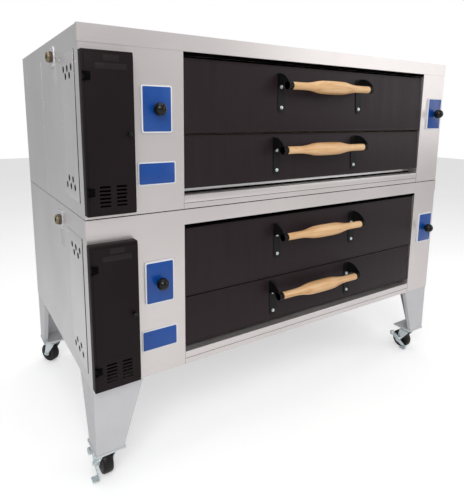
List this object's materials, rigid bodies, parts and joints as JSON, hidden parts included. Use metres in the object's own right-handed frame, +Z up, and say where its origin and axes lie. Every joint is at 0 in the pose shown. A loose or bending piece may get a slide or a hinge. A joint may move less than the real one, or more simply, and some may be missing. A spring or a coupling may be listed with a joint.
{
  "type": "double deck pizza oven",
  "caption": "Double-stacked gas deck pizza oven: drop-down doors with wooden grips, hinged control cover, pull dampers, tapered legs and swivel casters.",
  "frame": {"origin": "on the floor, under the centre of the whole oven's box", "axes": "+X to the right of a person who faces the doors, along the long side; +Y from the doors towards the back; +Z up"},
  "size_m": [2.003, 1.1905, 1.6763],
  "materials": {
    "fascia_steel": "brushed stainless sheet",
    "side_steel": "satin sheet steel",
    "liner_steel": "dull liner sheet",
    "door_black": "satin black-brown enamel",
    "cover_black": "fine textured black paint",
    "bracket_black": "black enamel",
    "panel_blue": "smooth blue enamel with a white border",
    "knob_black": "glossy black",
    "grip_wood": "light lacquered turned wood",
    "hearth": "matte baking hearth",
    "burner_iron": "heat-darkened",
    "gas_brass": "dull fittings",
    "leg_paint": "light grey paint",
    "zinc": "bright zinc plate",
    "wheel_rubber": "hard black"
  },
  "bodies": {
    "cabinet": {"bottom_deck_casing": "side_steel", "bottom_deck_fascia": "fascia_steel", "bottom_deck_top_band": "fascia_steel", "bottom_deck_vent_panel": "side_steel", "bottom_deck_baking_chamber": "liner_steel", "bottom_deck_hearth_stone": "hearth", "bottom_deck_burner": "burner_iron", "bottom_deck_gas_train": "gas_brass", "bottom_deck_control_cover": "cover_black", "bottom_deck_control_plate_left": "panel_blue", "bottom_deck_control_plate_right": "panel_blue", "bottom_deck_badge_plate": "panel_blue", "top_deck_casing": "side_steel", "top_deck_fascia": "fascia_steel", "top_deck_top_band": "fascia_steel", "top_deck_vent_panel": "side_steel", "top_deck_baking_chamber": "liner_steel", "top_deck_hearth_stone": "hearth", "top_deck_burner": "burner_iron", "top_deck_gas_train": "gas_brass", "top_deck_control_cover": "cover_black", "top_deck_control_plate_left": "panel_blue", "top_deck_control_plate_right": "panel_blue", "top_deck_badge_plate": "panel_blue", "leg_front_left": "leg_paint", "leg_front_right": "leg_paint", "leg_rear_left": "leg_paint", "leg_rear_right": "leg_paint"},
    "bottom_bake_door": {"bottom_deck_bake_door": "door_black", "bottom_deck_bake_handle_frame": "bracket_black", "bottom_deck_bake_grip": "grip_wood"},
    "bottom_burner_door": {"bottom_deck_burner_door": "door_black", "bottom_deck_burner_handle_frame": "bracket_black", "bottom_deck_burner_grip": "grip_wood"},
    "bottom_control_door": {"bottom_deck_control_door": "cover_black"},
    "bottom_latch": {"bottom_deck_control_latch": "bracket_black"},
    "bottom_thermostat": {"bottom_deck_thermostat_dial": "knob_black"},
    "bottom_damper_left": {"bottom_deck_damper_knob_left": "knob_black"},
    "bottom_damper_right": {"bottom_deck_damper_knob_right": "knob_black"},
    "top_bake_door": {"top_deck_bake_door": "door_black", "top_deck_bake_handle_frame": "bracket_black", "top_deck_bake_grip": "grip_wood"},
    "top_burner_door": {"top_deck_burner_door": "door_black", "top_deck_burner_handle_frame": "bracket_black", "top_deck_burner_grip": "grip_wood"},
    "top_control_door": {"top_deck_control_door": "cover_black"},
    "top_latch": {"top_deck_control_latch": "bracket_black"},
    "top_thermostat": {"top_deck_thermostat_dial": "knob_black"},
    "top_damper_left": {"top_deck_damper_knob_left": "knob_black"},
    "top_damper_right": {"top_deck_damper_knob_right": "knob_black"},
    "swivel_front_left": {"caster_fork_front_left": "zinc"},
    "swivel_front_right": {"caster_fork_front_right": "zinc"},
    "swivel_rear_left": {"caster_fork_rear_left": "zinc"},
    "swivel_rear_right": {"caster_fork_rear_right": "zinc"},
    "wheel_front_left": {"caster_wheel_front_left": "wheel_rubber"},
    "wheel_front_right": {"caster_wheel_front_right": "wheel_rubber"},
    "wheel_rear_left": {"caster_wheel_rear_left": "wheel_rubber"},
    "wheel_rear_right": {"caster_wheel_rear_right": "wheel_rubber"},
    "brake_front_left": {"caster_brake_front_left": "zinc"},
    "brake_front_right": {"caster_brake_front_right": "zinc"}
  },
  "joints": [
    {"name": "bottom_bake_door_hinge", "type": "hinge", "parent": "cabinet", "child": "bottom_bake_door", "pos_m": [0.011, -0.50672, 0.6993], "axis": [1, 0, 0], "range_deg": [0, 90]},
    {"name": "bottom_burner_door_hinge", "type": "hinge", "parent": "cabinet", "child": "bottom_burner_door", "pos_m": [0.011, -0.50672, 0.4933], "axis": [1, 0, 0], "range_deg": [0, 90]},
    {"name": "bottom_control_door_hinge", "type": "hinge", "parent": "cabinet", "child": "bottom_control_door", "pos_m": [-0.9705, -0.55472, 0.6918], "axis": [0, 0, -1], "range_deg": [0, 115]},
    {"name": "bottom_latch_turn", "type": "hinge", "parent": "bottom_control_door", "child": "bottom_latch", "pos_m": [-0.8315, -0.55072, 0.6943], "axis": [0, -1, 0], "range_deg": [0, 90]},
    {"name": "bottom_thermostat_turn", "type": "hinge", "parent": "cabinet", "child": "bottom_thermostat", "pos_m": [-0.8945, -0.49372, 0.7313], "axis": [0, 1, 0], "range_deg": [0, 270]},
    {"name": "bottom_damper_left_pull", "type": "slide", "parent": "cabinet", "child": "bottom_damper_left", "axis": [0, -1, 0], "range_m": [0, 0.045]},
    {"name": "bottom_damper_right_pull", "type": "slide", "parent": "cabinet", "child": "bottom_damper_right", "axis": [0, -1, 0], "range_m": [0, 0.045]},
    {"name": "top_bake_door_hinge", "type": "hinge", "parent": "cabinet", "child": "top_bake_door", "pos_m": [0.011, -0.50672, 1.3343], "axis": [1, 0, 0], "range_deg": [0, 90]},
    {"name": "top_burner_door_hinge", "type": "hinge", "parent": "cabinet", "child": "top_burner_door", "pos_m": [0.011, -0.50672, 1.1283], "axis": [1, 0, 0], "range_deg": [0, 90]},
    {"name": "top_control_door_hinge", "type": "hinge", "parent": "cabinet", "child": "top_control_door", "pos_m": [-0.9705, -0.55472, 1.3268], "axis": [0, 0, -1], "range_deg": [0, 115]},
    {"name": "top_latch_turn", "type": "hinge", "parent": "top_control_door", "child": "top_latch", "pos_m": [-0.8315, -0.55072, 1.3293], "axis": [0, -1, 0], "range_deg": [0, 90]},
    {"name": "top_thermostat_turn", "type": "hinge", "parent": "cabinet", "child": "top_thermostat", "pos_m": [-0.8945, -0.49372, 1.3663], "axis": [0, 1, 0], "range_deg": [0, 270]},
    {"name": "top_damper_left_pull", "type": "slide", "parent": "cabinet", "child": "top_damper_left", "axis": [0, -1, 0], "range_m": [0, 0.045]},
    {"name": "top_damper_right_pull", "type": "slide", "parent": "cabinet", "child": "top_damper_right", "axis": [0, -1, 0], "range_m": [0, 0.045]},
    {"name": "swivel_front_left_turn", "type": "hinge", "parent": "cabinet", "child": "swivel_front_left", "pos_m": [-0.9205, -0.45372, 0.13], "axis": [0, 0, 1], "continuous": true},
    {"name": "swivel_front_right_turn", "type": "hinge", "parent": "cabinet", "child": "swivel_front_right", "pos_m": [0.9425, -0.45372, 0.13], "axis": [0, 0, 1], "continuous": true},
    {"name": "swivel_rear_left_turn", "type": "hinge", "parent": "cabinet", "child": "swivel_rear_left", "pos_m": [-0.9205, 0.51428, 0.13], "axis": [0, 0, 1], "continuous": true},
    {"name": "swivel_rear_right_turn", "type": "hinge", "parent": "cabinet", "child": "swivel_rear_right", "pos_m": [0.9425, 0.51428, 0.13], "axis": [0, 0, 1], "continuous": true},
    {"name": "wheel_front_left_spin", "type": "hinge", "parent": "swivel_front_left", "child": "wheel_front_left", "pos_m": [-0.9205, -0.42172, 0.051], "axis": [1, 0, 0], "continuous": true},
    {"name": "wheel_front_right_spin", "type": "hinge", "parent": "swivel_front_right", "child": "wheel_front_right", "pos_m": [0.9425, -0.42172, 0.051], "axis": [1, 0, 0], "continuous": true},
    {"name": "wheel_rear_left_spin", "type": "hinge", "parent": "swivel_rear_left", "child": "wheel_rear_left", "pos_m": [-0.9365, 0.54199, 0.051], "axis": [0.866, 0.5, 0], "continuous": true},
    {"name": "wheel_rear_right_spin", "type": "hinge", "parent": "swivel_rear_right", "child": "wheel_rear_right", "pos_m": [0.9265, 0.54199, 0.051], "axis": [0.866, 0.5, 0], "continuous": true},
    {"name": "brake_front_left_lift", "type": "hinge", "parent": "swivel_front_left", "child": "brake_front_left", "pos_m": [-0.9205, -0.42172, 0.051], "axis": [-1, 0, 0], "range_deg": [0, 25]},
    {"name": "brake_front_right_lift", "type": "hinge", "parent": "swivel_front_right", "child": "brake_front_right", "pos_m": [0.9425, -0.42172, 0.051], "axis": [-1, 0, 0], "range_deg": [0, 25]}
  ]
}
